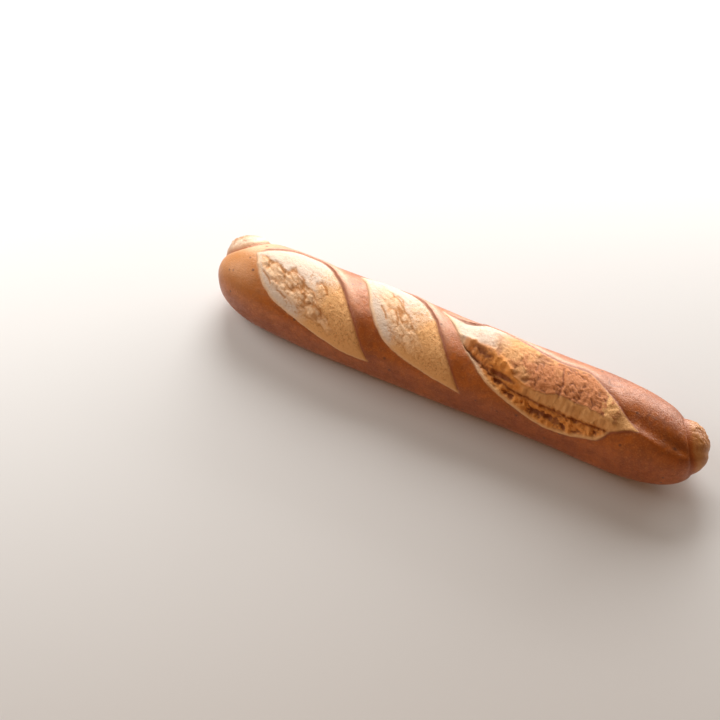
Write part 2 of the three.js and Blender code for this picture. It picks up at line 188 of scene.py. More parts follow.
# Cloudy noise on the crust: (size in mm, detail, roughness, distortion)
CLOUDS = dict(
    wide_clouds=(38, 3, 0.55, 0),
    cream_clouds=(16, 4, 0.6, 0),
    pore_clouds=(9, 3, 0.55, 0),
    mottle_clouds=(5.5, 6, 0.62, 0.4),
    toast_clouds=(4, 3, 0.55, 0),
    coarse_crumb=(2.9, 3, 0.6, 0),
    fleck_noise=(2.4, 4, 0.6, 0),
    pore_noise=(1.7, 3, 0.6, 0),
    fine_crust=(1.3, 4, 0.6, 0),
    fine_crumb=(1.1, 5, 0.65, 0),
)
SPECK_SPACING = 13  # mm between the dark specks

# Sums: (trait, its weight, the mark or number that it is added to)
SUMS = dict(
    gold_clouds=("gold", 1, "cream_clouds"),
    pore_places=("porous", 0.25, "pore_clouds"),
    fleck_share=("porous", 0.6, 0.15),
)

# Masks, which rise smoothly from 0 to 1: (mark, its value where the mask is 0, its value where it is 1)
MASKS = dict(
    patches=("wide_clouds", 0.35, 0.68),
    mottle=("mottle_clouds", 0.32, 0.7),
    pale_grain=("fine_crust", 0.5, 0.72),
    specks=("speck_cells", 0.13, 0.07),
    gold_skin=("gold_clouds", 0.55, 1.25),
    all_flecks=("fleck_noise", 0.46, 0.7),
    all_pores=("pore_noise", 0.52, 0.64),
    pore_fields=("pore_places", 0.5, 0.75),
    puckers=("wrinkled", 0.15, 0.8),
    wall_streaks=("streaks", 0.05, 0.6),
    toast=("toast_clouds", 0.45, 0.7),
)

# Products of two marks
PRODUCTS = dict(flecks=("all_flecks", "fleck_share"), pores=("all_pores", "pore_fields"))

# Colours: a base, and the layers over it as (mark, strength, colour). The crust is red-brown in soft patches a few
# centimetres wide, with a finer mottle, pale grain and a few dark specks. It is paler on the left end. A painted
# highlight lies on the left end's top and on the ears past the scores' far edges, and painted shade darkens the back.
# By the right end a darker bake is deepened by painted shade in the furrow.
CRUST_COLOURS = (
    "#b45c16",
    [
        ("patches", 1, "#98460a"),
        ("mottle", 0.5, "#703003"),
        ("pale_grain", 0.45, "#cf8442"),
        ("pale_end", 0.75, "#cf8a48"),
        # A painted highlight on the left end's top.
        ("top_highlight", 0.65, "#e4bd98"),
        # Painted shade on the back, which the back lights would wash out.
        ("back_shade", 0.65, "#7d4119"),
        # A painted highlight on the ears past the scores' far edges.
        ("ear_and_highlight", 0.55, "#e6b493"),
        # A darker bake by the right end, partly painted shade in the furrow.
        ("dark_bake_and_shade", 0.7, "#5a280c"),
        ("specks", 0.75, "#5b2c14"),
    ],
)

# The opened crumb is cream where it stretched smooth, and golden further down with small dark pores. The torn parts
# are a wrinkled brown shelf, streaks down its wall, and orange strands, with painted shade in the pits and creases.
CRUMB_COLOURS = (
    "#dac3ae",
    [
        ("gold_skin", 1, "#e6ab6a"),
        ("flecks", 1, "#cd8540"),
        ("pores", 0.65, "#b27433"),
        ("shelf", 0.95, ("#884418", [("puckers", 1, "#bb6d36")])),
        ("wall_streaks", 0.6, "#b07033"),
        ("torn", 0.85, ("#f0cda4", [("toasted", 1, "#e08a2e"), ("toast", 0.6, "#cf8236")])),
        # Painted shade in the pits, creases, the hollow and the groove at the wall's foot.
        ("pit_shade", 0.9, ("#bd7520", [("toasted", 1, "#78360a")])),
    ],
)

# Over both: the scores' edges, brown with painted shade in the crease and cream with a painted highlight on the lip,
# then the tails and the hairline cracks
EDGE_COLOURS = [
    # The crease's browned edge, with painted shade in it.
    ("crease_brown_and_shade", 0.95, "#8c3f0e"),
    # The cream lip, with a painted highlight on it.
    ("lip_and_highlight", 0.6, "#eabb88"),
    ("left_tail", 0.92, "#efd7ba"),
    ("right_tail", 0.75, "#d29757"),
    ("tail_face", 0.8, "#b4733c"),
    ("tail_edge", 0.9, "#9a4a12"),
    ("tail_folds", 0.75, "#96521f"),
    ("cracks", 0.8, "#5c270e"),
]
CRUST_ROUGHNESS = (0.34, 0.46)  # the satin crust's, from its plain parts to its mottled ones
CRUMB_ROUGHNESS = 0.72
CRUST_GRAIN = [("fine_crust", 0.35), ("mottle", 0.12)]  # (mark, mm) of bump
CRUMB_GRAIN = [("fine_crumb", 0.5), ("coarse_crumb", 0.7), ("pores", -0.1)]

# The view
VIEW_TURN = 20.5  # degrees round the loaf, from its front to its right end
VIEW_RISE = 57  # degrees over the floor
VIEW_DISTANCE = 1500  # mm
VIEW_MIDDLE = Vector((-0.7, -0.3, 30))  # mm, the loaf's middle, which that distance is from
VIEW_ASIDE = 80.7  # mm that it looks to the left of that middle
VIEW_BELOW = 7.2  # mm that it looks below it
FOCAL_LENGTH = 88  # mm, on Blender's 36 mm sensor


def ramp(a, b, value):
    """A smooth rise from 0 at a to 1 at b: t t (3 - 2 t)."""
    t = np.clip((value - a) / (b - a), 0, 1)
    return t * t * (3 - 2 * t)


def bell(value, width):
    """1 at zero, falling off as exp(-(value / width) squared)."""
    return np.exp(-((value / width) ** 2))


def curve(knots, place):
    """A cubic from knot to knot. Its slope at a knot is that between the knot's neighbours."""
    places, values = np.array(knots, float).T
    last = len(places) - 1
    before = np.maximum(np.arange(last + 1) - 1, 0)
    after = np.minimum(np.arange(last + 1) + 1, last)
    slopes = (values[after] - values[before]) / (places[after] - places[before])
    p = np.clip(place, places[0], places[last])
    i = np.clip(np.searchsorted(places, p) - 1, 0, last - 1)
    span = places[i + 1] - places[i]
    u = (p - places[i]) / span
    rise = u * u * (3 - 2 * u)
    leave = u * (1 - u) ** 2 * span * slopes[i]
    arrive = u * u * (1 - u) * span * slopes[i + 1]
    return values[i] + (values[i + 1] - values[i]) * rise + leave - arrive


def corner_value(i, j, k, seed):
    """A fixed number from 0 to 1 for each corner of a unit lattice, by multiplying and folding 32-bit numbers."""
    i, j, k = (np.asarray(v).astype(np.int64).astype(np.uint32) for v in (i, j, k))
    h = i * np.uint32(374761393) ^ j * np.uint32(668265263) ^ k * np.uint32(2246822519)
    h = h ^ np.uint32((seed * 3266489917) & 0xFFFFFFFF)
    h = (h ^ (h >> np.uint32(15))) * np.uint32(2246822507)
    h = (h ^ (h >> np.uint32(13))) * np.uint32(3266489909)
    return ((h ^ (h >> np.uint32(16))) & np.uint32(0xFFFFFF)) / 0xFFFFFF


def noise(x, y, z, seed):
    """Smooth noise from -1 to 1: the lattice's corner values, blended by a fifth-power ease along each axis.

    A place in mm comes divided by the size of the noise in mm, and a fixed number instead of one takes a slice of it.
    """
    x, y, z = np.broadcast_arrays(x, y, z)
    cells = [np.floor(v) for v in (x, y, z)]
    eases = [t**3 * (t * (t * 6 - 15) + 10) for t in (x - cells[0], y - cells[1], z - cells[2])]
    total = 0
    for corner in np.ndindex(2, 2, 2):
        weight = np.prod([e if c else 1 - e for c, e in zip(corner, eases)], axis=0)
        total = total + weight * corner_value(*(cell + c for cell, c in zip(cells, corner)), seed)
    return 2 * total - 1


def ridges(x, y, z, seed):
    """Ridges with pits between them, from 0 to 1: 1 - |noise| in three sizes, each half the one before."""

    def size(scale, octave):
        return 1 - np.abs(noise(x * scale, y * scale, z * scale, seed + octave))

    return (4 * size(1, 0) + 2 * size(2, 1) + size(4, 2)) / 7


def smooth_loaf(x, degrees):
    """The loaf before it opened: a superellipse section whose size closes to a blunt dome at each end."""
    left = 1 - np.clip((x + HALF) / LEFT_END["length"], 0, 1)
    right = 1 - np.clip((HALF - x) / RIGHT_END["length"], 0, 1)
    fullness = np.sqrt((1 - left ** LEFT_END["bluntness"]) * (1 - right ** RIGHT_END["bluntness"]))
    side, up = np.sin(np.radians(degrees)), np.cos(np.radians(degrees))
    power = np.where(up >= 0, 2 / TOP_ROUNDNESS, 2 / BELLY_ROUNDNESS)
    crest = (HEIGHT + RIGHT_EXTRA_HEIGHT * np.clip(x / HALF, 0, 1) - BELT_HEIGHT) * fullness
    reach = np.where(up >= 0, crest, -BELLY_DEPTH * fullness**0.9)
    out = curve(HALF_WIDTHS, x) * fullness * np.sign(side) * np.abs(side) ** power
    back = curve(BEND, x) + LEFT_END["back"] * left**2 + RIGHT_END["back"] * right**2
    lift = LEFT_END["lift"] * left**2 + RIGHT_END["lift"] * right**2
    return np.stack([x, out + back, BELT_HEIGHT + lift + reach * np.abs(up) ** power], axis=-1)


def place_in_score(score, x, degrees):
    """Where each point lies in a score: its share of the length, its mm across the chord and in from the edges.

    An edge's distance is measured across the chord and shortened by the edge's slope. Two sizes of noise make the
    edges ragged.
    """
    run = np.array([score["end"][0] - score["start"][0], (score["end"][1] - score["start"][1]) * MM_PER_DEGREE])
    length = np.hypot(*run)
    run = run / length
    dx, ds = x - score["start"][0], (degrees - score["start"][1]) * MM_PER_DEGREE
    share = (dx * run[0] + ds * run[1]) / length
    across = run[0] * ds - run[1] * dx
    step = 0.004

    def tilt(edge):
        rise = curve(edge, share + step) - curve(edge, share - step)
        return np.hypot(1, rise / (2 * step * length))

    ragged = 0.5 * noise(x / 6, degrees * MM_PER_DEGREE / 6, 0.5, 31)
    ragged = ragged + 0.25 * noise(x / 2.2, degrees * MM_PER_DEGREE / 2.2, 3.5, 32)
    from_near = (across - curve(score["near"], share)) / tilt(score["near"]) + ragged
    from_far = (curve(score["far"], share) - across) / tilt(score["far"]) + ragged
    beyond = np.maximum(np.maximum(-share, share - 1), 0) * length
    inside = np.where(beyond > 0, -np.hypot(beyond, across), np.minimum(from_near, from_far))
    return dict(
        share=share,
        across=across,
        flow=share * length,
        q=np.clip(share, 0, 1),
        from_near=from_near,
        from_far=from_far,
        inside=inside,
    )


def warped(flow, across, seed, size):
    """The places along and across a score, each moved by up to 1.6 mm of noise, so that no pattern runs straight."""
    warp_x = 1.6 * noise(flow / size, across / size, 3.3, 40 + seed)
    warp_y = 1.6 * noise(flow / size, across / size, 8.3, 50 + seed)
    return flow + warp_x, across + warp_y


def lobed_domes(lobes, flow, across, small):
    """A soft tear's named lobes: domes of (1 - r squared) to the power 0.8, and creases round their far sides.

    A lobe is (mm along, mm across, radius), drawn out along the score, and the small puckers make its r uneven.
    """
    domes, creases = 0, 0
    for along_lobe, across_lobe, radius in lobes:
        r = np.hypot((flow - along_lobe) / 1.35, across - across_lobe) / radius + 0.35 * (small - 0.3)
        far_side = ramp(-0.4, 0.5, (across - across_lobe) / radius)
        creases = np.maximum(creases * ramp(0.6, 1, r), bell(r - 1.05, 0.19) * far_side)
        domes = np.maximum(domes, (1 - np.minimum(r, 1) ** 2) ** 0.8)
    return domes, creases


def soft_tear(score, at, seed):
    """The tear in the first two scores: the skin ends at a scalloped edge, over a pit of puckered, torn crumb.

    The pit drops within 2 mm under the edge and rises again towards its foot line. The puckers are |noise| in two
    sizes, so that they meet in sharp creases. Domes stand on it, and a thin broken crack follows the foot line.
    Returns the height in mm, how much of the surface is torn, and the painted shade in its creases, pits and crack.
    """
    tear, flow, across = score["tear"], at["flow"], at["across"]
    opened = ramp(*tear["opens"], at["share"]) * (1 - ramp(*tear["closes"], at["share"]))
    scallops = 1.8 * noise(flow / 8, 0.5, 1.5, 74 + seed) + 0.7 * noise(flow / 3, 0.5, 4.5, 76 + seed)
    under_edge = curve(tear["edge"], at["q"]) + scallops - across
    width = np.maximum(curve(tear["edge"], at["q"]) - curve(tear["foot"], at["q"]), 4)
    pit = ramp(0, 2, under_edge) * (1 - ramp(0.45 * width, width, under_edge))
    torn = ramp(-0.4, 1.2, under_edge) * (1 - ramp(0.6 * width, width, under_edge))
    torn = torn * opened * ramp(1.5, 5, at["from_near"]) * ramp(2, 5, at["from_far"])

    flow, across = warped(flow, across, seed, 7)
    large = np.abs(noise(flow / 11, across / 4.4, 1.1, 61 + seed))
    small = np.abs(noise(flow / 4.4, across / 2.2, 2.3, 88 + seed))
    domes, creases = lobed_domes(tear["lobes"], flow, across, small)
    creases = creases * ramp(1.5, 4, at["from_near"]) * ramp(2, 5, at["from_far"]) * opened
    pucker = 0.8 * (large + 0.8 * small - 0.5) * torn * (1 - 0.5 * domes)
    height = tear["depth"] * (pucker + 0.27 * domes * opened - 0.3 * creases - 0.3 * pit * opened)

    crack = bell(under_edge - 0.86 * width + 1.6 * noise(flow / 5, 0.5, 6.5, 97), 0.7)
    crack = crack * ramp(0.1, 0.5, noise(flow / 7, 0.5, 9.5, 98) + 0.35) * ramp(2, 4, at["from_near"])
    # Painted shade between the puckers, in the lobes' creases, under the skin's edge and in the crack.
    between_puckers = np.maximum(ramp(0.17, 0.04, large), 0.7 * ramp(0.17, 0.04, small)) * torn * (1 - 0.3 * domes)
    between_puckers = between_puckers * ramp(-0.35, 0.15, noise(flow / 9, across / 6, 4.9, 100 + seed))
    under_skin = np.maximum(0.8 * bell(under_edge - 0.6, 0.8), crack) * opened
    pit_shade = np.maximum(np.maximum(between_puckers, creases), under_skin)
    return height - 0.4 * crack * opened, torn, pit_shade


def ledge_form(score, at):
    """The long score's tear without its detail: a raised shelf that ends in a ragged ledge, a wall, and a floor.

    The wall rises as its share to the power 1.4, up to a sharp ledge, and the floor as a smooth ramp, to the power
    1.2, to the near edge. A groove follows the wall's foot.
    Returns the height in mm, the mm past the ledge, the wall's width in mm, and the share up the wall.
    """
    flow = at["flow"]
    ragged = 2 * noise(flow / 9, 0.5, 1.5, 71) + 1.3 * noise(flow / 3.4, 0.5, 4.5, 72)
    ledge, foot = curve(score["ledge"], at["q"]), curve(score["foot"], at["q"])
    over_ledge = at["across"] - ledge + ragged
    wall = np.maximum(ledge - foot, 2)
    up_wall = np.clip(1 + over_ledge / wall, 0, 1)
    shelf = SHELF_RISE * (1 - 0.45 * ramp(8, 26, over_ledge)) + 0.7 * bell(over_ledge - 0.6, 1.6)
    height = -VALLEY_DEPTH + (shelf + VALLEY_DEPTH) * up_wall**1.4 - 1.2 * bell(over_ledge + wall, 1.6)
    from_foot = np.maximum(-(over_ledge + wall), 0)
    from_near = np.maximum(at["from_near"], 0)
    up_floor = ramp(0, 1, from_foot / (from_near + from_foot + 1e-6)) ** 1.2
    return height + (VALLEY_DEPTH - 0.3) * up_floor, over_ledge, wall, up_wall


def shelf_wrinkles(score, at, flow, across, on_shelf):
    """The shelf's wrinkled skin: soft ridged folds, |noise| puckers in two sizes, and cracks where noise is zero.

    One fold runs across it, a low swell beside a narrow groove.
    Returns the height in mm, the puckers from 0 to 1, and the painted shade in the cracks and the fold's groove.
    """
    folds = ridges(flow / 9, across / 7, 2.1, 65) - 0.6
    bent_flow, bent_across = warped(flow, across, 6, 3.5)
    puckers = 0.6 * ramp(0, 0.3, np.abs(noise(bent_flow / 4.4, bent_across / 2.6, 4.7, 68)))
    puckers = puckers + 0.4 * ramp(0, 0.4, np.abs(noise(bent_flow / 2.3, bent_across / 1.6, 1.7, 69)))
    cracks = ramp(0.1, 0.02, np.abs(noise(flow / 11, across / 11, 6.4, 66)))
    cracks = cracks * ramp(0.1, 0.4, noise(flow / 20, 0.3, 2, 64))
    past_fold = at["flow"] - curve(score["fold"], at["across"]) + 1.2 * noise(across / 4, 0.5, 7.5, 89)
    along_fold = ramp(3, 0, np.abs(at["across"] + 4.5) - 9.5)
    height = on_shelf * (1.2 * folds + 0.9 * (puckers - 0.6) - 0.9 * cracks)
    height = height + 0.9 * (bell(past_fold - 3, 2.6) - bell(past_fold + 0.3, 0.9)) * along_fold
    return height, puckers, np.maximum(0.8 * on_shelf * cracks, 0.9 * bell(past_fold + 0.3, 0.8) * along_fold)


def deep_tear(score, at):
    """The long score's tear: the ledge's form, with torn strands on the floor, and flakes and streaks on the wall.

    The strands are ridges in two sizes and the flakes ridges in one, the streaks noise drawn out down the wall, and
    the hollow two bells. The shelf browns as a ramp along the score, moved by two sizes of noise.
    Returns the height in mm and the painted traits.
    """
    share = at["share"]
    opened = ramp(0.12, 0.22, share) * (1 - ramp(0.86, 0.94, share))
    height, over_ledge, wall, up_wall = ledge_form(score, at)
    flow, across = warped(at["flow"], at["across"], 3, 6)

    on_floor = ramp(0, 3, -(over_ledge + wall * 0.7)) * ramp(1, 5, at["from_near"])
    strands = ridges(flow / 13, across / 5, 9.1, 63) - 0.6 + 0.6 * (ridges(flow / 5, across / 2.6, 3.1, 94) - 0.6)
    on_wall = ramp(0, 0.25, up_wall) * ramp(1, 0.8, up_wall)
    streaks = 0.6 * noise(at["flow"] / 3.4, across / 9, 1.2, 67) + 0.5 * noise(at["flow"] / 1.5, across / 12, 1.2, 70)
    flaky = bell(over_ledge + wall * 0.4, 0.6 * wall) * ramp(0.14, 0.22, share) * ramp(0.56, 0.42, share)
    flakes = ridges(flow / 10, across / 4.5, 5.3, 87) - 0.6
    flake_rims = bell(over_ledge - 0.4, 1.1) * ramp(0.17, 0.24, share) * ramp(0.6, 0.46, share)
    hollow = bell(share - HOLLOW["share"], HOLLOW["length"]) * bell(at["across"] - HOLLOW["across"], HOLLOW["width"])
    height = height + 5.5 * on_floor * strands + 6 * flaky * flakes + 1.1 * on_wall * streaks
    height = height - HOLLOW["depth"] * hollow
    # The pits, the hollow and the groove at the wall's foot take painted shade.
    pits = [on_floor * ramp(0.06, -0.2, strands), flaky * ramp(0.1, -0.14, flakes), ramp(0.2, 0.7, hollow)]
    pits = pits + [0.9 * bell(over_ledge + wall * 0.97, 1.3)]

    on_shelf = ramp(-0.5, 1, over_ledge) * ramp(0.16, 0.44, share) * ramp(0.5, 3, at["from_far"])
    wrinkles, puckers, cracks = shelf_wrinkles(score, at, flow, across, on_shelf)
    patchy = 0.08 * noise(flow / 9, across / 7, 3.1, 90) + 0.05 * noise(flow / 3.5, across / 3, 5.1, 93)
    browned = ramp(-0.1, 0.12, share - 0.42 - 0.005 * (across + 10) + patchy)
    browned = np.maximum(browned, 0.3 * ramp(0.2, 0.35, share)) * ramp(-0.5, 1, over_ledge)
    browned = browned * ramp(0.5, 2, at["from_far"]) * ramp(0.87, 0.82, share + patchy)
    torn = np.maximum(np.maximum(on_floor, ramp(0.1, 0.6, flaky)), flake_rims)
    painted = dict(
        shelf=browned * opened,
        wrinkled=puckers * on_shelf * opened,
        torn=torn * opened,
        pit_shade=np.max(pits + [cracks], axis=0) * opened,
        streaks=on_wall * streaks * opened,
    )
    return (height + wrinkles) * opened, painted


def crust_beside(score, at, taper):
    """The crust along a score: an ear, a bell 3.5 mm past the far edge, and a dip that fades from the near edge.

    The dip is exp(-distance / 5), and past the long score's far edge a flake stands up, two crossed bells.
    Returns the height in mm, and the ear from 0 to 1, which also lays a painted highlight on it.
    """
    ear_and_highlight = np.where(at["from_far"] < 3, bell(at["from_far"] + 3.5, 5), 0)
    dip = np.where(at["from_near"] < at["from_far"], np.exp(-np.maximum(-at["from_near"], 0) / 5), 0)
    height = taper * (EAR_RISE * ear_and_highlight - NEAR_DIP * dip)
    if score is LONG_SCORE:
        stands = bell(at["share"] - FLAKE["share"], FLAKE["length"]) * bell(at["from_far"] + 1, 1.6)
        height = height + FLAKE["rise"] * stands * (1 + 0.5 * noise(at["flow"] / 3, 0.5, 2.5, 91))
    return height, ear_and_highlight * taper


def opened_crumb(score, at, taper, seed):
    """The crumb between a score's edges: a lip on the near edge and a crease on the far one, both exp(-distance).

    Ridges crease its stretched skin. A soft score bulges as 4 m (1 - m) to the power 0.7, m being the share of the
    way across. The score's tear comes on top. Returns the height in mm and the painted traits.
    """
    from_near, from_far = np.maximum(at["from_near"], 0), np.maximum(at["from_far"], 0)
    form = LIP_RISE * np.exp(-from_near / 5) - CREASE_DEPTH * np.exp(-from_far / CREASE_WIDTH)
    skin = ridges(*warped(at["flow"] / 9, at["across"] / 4, 9, 1.5), 7.3, 86) - 0.66
    form = form + 0.7 * skin * ramp(1, 4, from_near)
    if score is LONG_SCORE:
        tear, painted = deep_tear(score, at)
        painted.update(gold=ramp(0.2, 0.45, at["share"]), toasted=1)
    else:
        middle = from_near / (from_near + from_far + 1e-6)
        form = form + score["bulge"] * (4 * middle * (1 - middle)) ** 0.7
        tear, torn, pit_shade = soft_tear(score, at, seed)
        porous = ramp(0.3, 0.5, at["share"]) * (1 - ramp(0.8, 0.92, at["share"])) * ramp(3, 9, from_near)
        painted = dict(torn=torn, pit_shade=pit_shade, porous=porous, gold=ramp(0.3, 0.75, at["share"]), toasted=0.2)
    return form * taper + tear, painted


def painted_edges(score, at, ear_and_highlight):
    """The traits along a score's edges, bells of the distance to them: the brown crease with painted shade in it, the
    pale lip and ear with painted highlights on them.

    Under the long score's last tip the near edge is brown too, with painted shade in the crevice there.
    """
    beside = ramp(0, 0.03, at["share"]) * (1 - ramp(0.97, 1, at["share"]))
    under_tip = ramp(0.86, 0.9, at["share"]) if score is LONG_SCORE else 0
    edge_line = np.maximum(bell(at["from_far"] + 0.6, 1.4), under_tip * bell(at["from_near"] + 0.2, 1.2))
    return dict(
        crumb=ramp(-0.5, 0.6, at["inside"]),
        # A painted highlight on the ear.
        ear_and_highlight=ear_and_highlight * ramp(0.85, 0.45, at["share"]),
        # The crease's browned edge, with painted shade in it.
        crease_brown_and_shade=edge_line * beside,
        # The cream lip, with a painted highlight on it.
        lip_and_highlight=bell(at["from_near"] - 1, 1.4) * beside * (1 - under_tip),
    )


def relief(x, degrees, place):
    """How far the crust and the opened scores stand off the smooth loaf, in mm, and their painted traits.

    Lumps of noise in four sizes and a bell-shaped swell along each named line come first, then each score in turn.
    Inside its edges the crumb's own form takes the place of half the lumps, and outside them the crust lifts or dips.
    """

    def lumps(size, seed):
        return noise(place[..., 0] / (1.2 * size), place[..., 1] / size, place[..., 2] / size, seed)

    height = 0.6 * lumps(40, 5) + 0.3 * lumps(20, 6) + 0.25 * lumps(13, 9)
    height = height + 0.05 * lumps(5, 12) * ramp(-0.2, 0.6, lumps(30, 14))
    for swell in (FURROW, PINCH):
        off_line = (degrees - curve(swell["line"], x)) * MM_PER_DEGREE
        there = ramp(*swell["comes"], x) * ramp(*swell["goes"], x)
        height = height + swell["height"] * bell(off_line, swell["width"]) * there

    traits = {}
    for index, score in enumerate(SCORES):
        at = place_in_score(score, x, degrees)
        taper = np.sqrt(4 * at["q"] * (1 - at["q"]))
        crust, ear_and_highlight = crust_beside(score, at, taper)
        crumb, painted = opened_crumb(score, at, taper, index)
        opened = ramp(-EDGE_SOFTNESS, EDGE_SOFTNESS, at["inside"])
        height = height * (1 - 0.5 * opened) + crumb * opened + crust * (1 - opened)
        painted = {name: amount * opened for name, amount in painted.items()}
        for name, amount in (painted | painted_edges(score, at, ear_and_highlight)).items():
            traits[name] = np.maximum(traits.get(name, 0), amount)
    return height * ramp(0, 12, HALF - np.abs(x)), traits


def place_on_tail(points, tail):
    """The tail's direction, and each point's place on it in mm: its height along that direction over the tail's
    centre, how far it is to the fold side, shortened by the tail's stretch, and how far across that."""
    direction = np.array(tail["direction"]) / np.linalg.norm(tail["direction"])
    fold_side = np.array(tail["fold_side"]) - direction * np.dot(tail["fold_side"], direction)
    fold_side = fold_side / np.linalg.norm(fold_side)
    out = points - np.array(tail["centre"])
    depth = out @ direction
    out = out - depth[..., None] * direction
    return direction, depth, out @ fold_side / tail["stretch"], out @ np.cross(fold_side, direction)


def lift_tail(points, tail):
    """A tail: what lies within its radius is lifted along its direction to a blunt, folded button over a crease.

    The button is (1 - r cubed) to the power 0.55, r being the share of the radius, and higher to its fold side. A
    bell-shaped neck and groove go round it. Ridges fold that side, and fine puckers of |noise| cover it.
    Returns the moved points, and the tail's painted traits.
    """
    direction, depth, to_fold, along = place_on_tail(points, tail)
    distance = np.hypot(to_fold, along)
    r = distance / tail["radius"]
    button = (1 - np.minimum(r, 1) ** 3) ** 0.55 * (1 + tail["lean"] * (to_fold / tail["radius"] - 0.3))
    neck = bell(np.maximum(r, 1) - 1.12, 0.3) * ramp(0.55, 1, r)
    grooves = 1.4 * bell(r - 1.04, 0.09) + tail["waist"] * bell(to_fold + 4, 2.4) * ramp(1.1, 0.9, r)
    folded = ramp(-0.1, 0.9, to_fold / (distance + 1e-6)) * bell(r - 0.72, 0.3)
    fold = ridges(to_fold / 5.5, along / 3, depth / 9, 81) - 0.66
    puckers = np.abs(noise(to_fold / 2.6, along / 2.2, depth / 7, 95))
    puckers = puckers + 0.5 * np.abs(noise(to_fold / 1.3, along, 0.5, 96))
    puckered = ramp(1.02, 0.9, r) * ramp(-0.5, 0.4, to_fold / tail["radius"])
    lift = tail["rise"] * button - tail["neck"] * neck - grooves + tail["folds"] * folded * fold
    lift = lift + 1.1 * (puckers - 0.4) * puckered

    reached = ramp(*TAIL_REACH, depth)
    seen = ramp(*TAIL_PAINTED, depth)
    rim = bell(r - 0.87, 0.04) * ramp(-0.2, 0.3, noise(to_fold / 6, along / 6, 3.5, 103))
    creased = np.maximum(folded * ramp(0.06, -0.12, fold), ramp(0.22, 0.06, puckers) * puckered)
    painted = dict(
        tail=ramp(1, 0.88, r) * seen,
        tail_face=ramp(0.92, 0.6, r) * seen,
        tail_edge=np.maximum(bell(r - 1.02, 0.04), 0.6 * rim) * seen,
        tail_folds=creased * ramp(1.1, 1, r) * reached,
    )
    return points + (lift * reached)[..., None] * direction, painted


def outward(x, degrees, place):
    """The smooth loaf's outward direction: the cross product of its slopes along and round."""
    step = 0.5
    along = smooth_loaf(np.minimum(x + step, HALF), degrees) - smooth_loaf(np.maximum(x - step, -HALF), degrees)
    around = smooth_loaf(x, degrees + step) - smooth_loaf(x, degrees - step)
    normal = np.cross(along, around)
    normal = normal / np.maximum(np.linalg.norm(normal, axis=-1, keepdims=True), 1e-9)
    facing = normal[..., 1] * place[..., 1] + normal[..., 2] * (place[..., 2] - BELT_HEIGHT)
    return normal * np.where(facing < 0, -1, 1)[..., None]


def crust_marks(x, degrees):
    """The crust's painted marks, from where a point is along and round the loaf.

    Hairline cracks and pebbled skin lie where noise crosses zero, inside a bell-shaped patch each. The darker bake by
    the right end, with painted shade in the furrow there, is two bells. The paler left end, the painted highlight on
    its top and the painted shade on the back are ramps.
    """
    hairlines = bell(x - 130, 14) * bell(degrees - 18, 15)
    hairlines = hairlines * ramp(0.08, 0.02, np.abs(noise(x / 9, degrees / 12, 2.5, 92)))
    pebbled = bell(x - 172, 16) * bell(degrees - 0.3 * (x - 172), 9)
    pebbles = ramp(0.3, 0.05, np.abs(noise(x / 2.6, degrees / 4.5, 2.5, 99)))
    return dict(
        cracks=np.maximum(hairlines, 0.6 * pebbled * pebbles),
        # A darker bake by the right end, partly painted shade in the furrow.
        dark_bake_and_shade=0.6 * bell(x - 197, 13) * bell(degrees + 18, 13) + bell(x - 202, 2) * bell(degrees + 23, 3),
        pale_end=ramp(-140, -205, x) * ramp(-95, -20, degrees),
        # A painted highlight on the left end's top.
        top_highlight=ramp(-165, -200, x) * ramp(-5, 25, degrees) * ramp(75, 45, degrees),
        # Painted shade on the back.
        back_shade=ramp(45, 85, degrees),
    )


def crust_points(x, degrees):
    """The crust's points in mm, and its painted traits. What would reach below the tray is pressed flat."""
    place = smooth_loaf(x, degrees)
    height, traits = relief(x, degrees, place)
    points = place + outward(x, degrees, place) * height[..., None]
    points, left = lift_tail(points, LEFT_TAIL)
    points, right = lift_tail(points, RIGHT_TAIL)
    traits.update(crust_marks(x, degrees))
    traits["cracks"] = traits["cracks"] * (1 - traits["crumb"])
    traits.update(left_tail=left["tail"], right_tail=right["tail"])
    traits.update({name: np.maximum(left[name], right[name]) for name in ("tail_face", "tail_edge", "tail_folds")})
    points[..., 2] = np.maximum(points[..., 2], 0)
    return points, traits


def angles_round():
    """The angles of the points round a ring: equal shares of a weight that is high in the scored band."""
    angle = np.linspace(-180, 180, 1441)
    start, end, fade = SCORED_BAND["start"], SCORED_BAND["end"], SCORED_BAND["fade"]
    band = ramp(start - fade, start, angle) * (1 - ramp(end, end + fade, angle))
    total = np.concatenate([[0], np.cumsum(BELLY_SHARE + (1 - BELLY_SHARE) * band[:-1])])
    return np.interp(total[-1] * np.arange(POINTS_ROUND) / POINTS_ROUND, total, angle)


def grid_faces():
    """Quads between neighbouring rings, and a fan of triangles at each tip, whose points come last."""
    ring, column = np.meshgrid(np.arange(RINGS - 1), np.arange(POINTS_ROUND), indexing="ij")
    after = (column + 1) % POINTS_ROUND
    first, second = ring * POINTS_ROUND, (ring + 1) * POINTS_ROUND
    quads = np.stack([first + column, second + column, second + after, first + after], axis=-1).reshape(-1, 4)
    j = np.arange(POINTS_ROUND)
    after = (j + 1) % POINTS_ROUND
    left_tip, last_ring = RINGS * POINTS_ROUND, (RINGS - 1) * POINTS_ROUND
    left = np.stack([np.full_like(j, left_tip), j, after], axis=-1)
    right = np.stack([np.full_like(j, left_tip + 1), last_ring + after, last_ring + j], axis=-1)
    return quads.tolist() + left.tolist() + right.tolist()


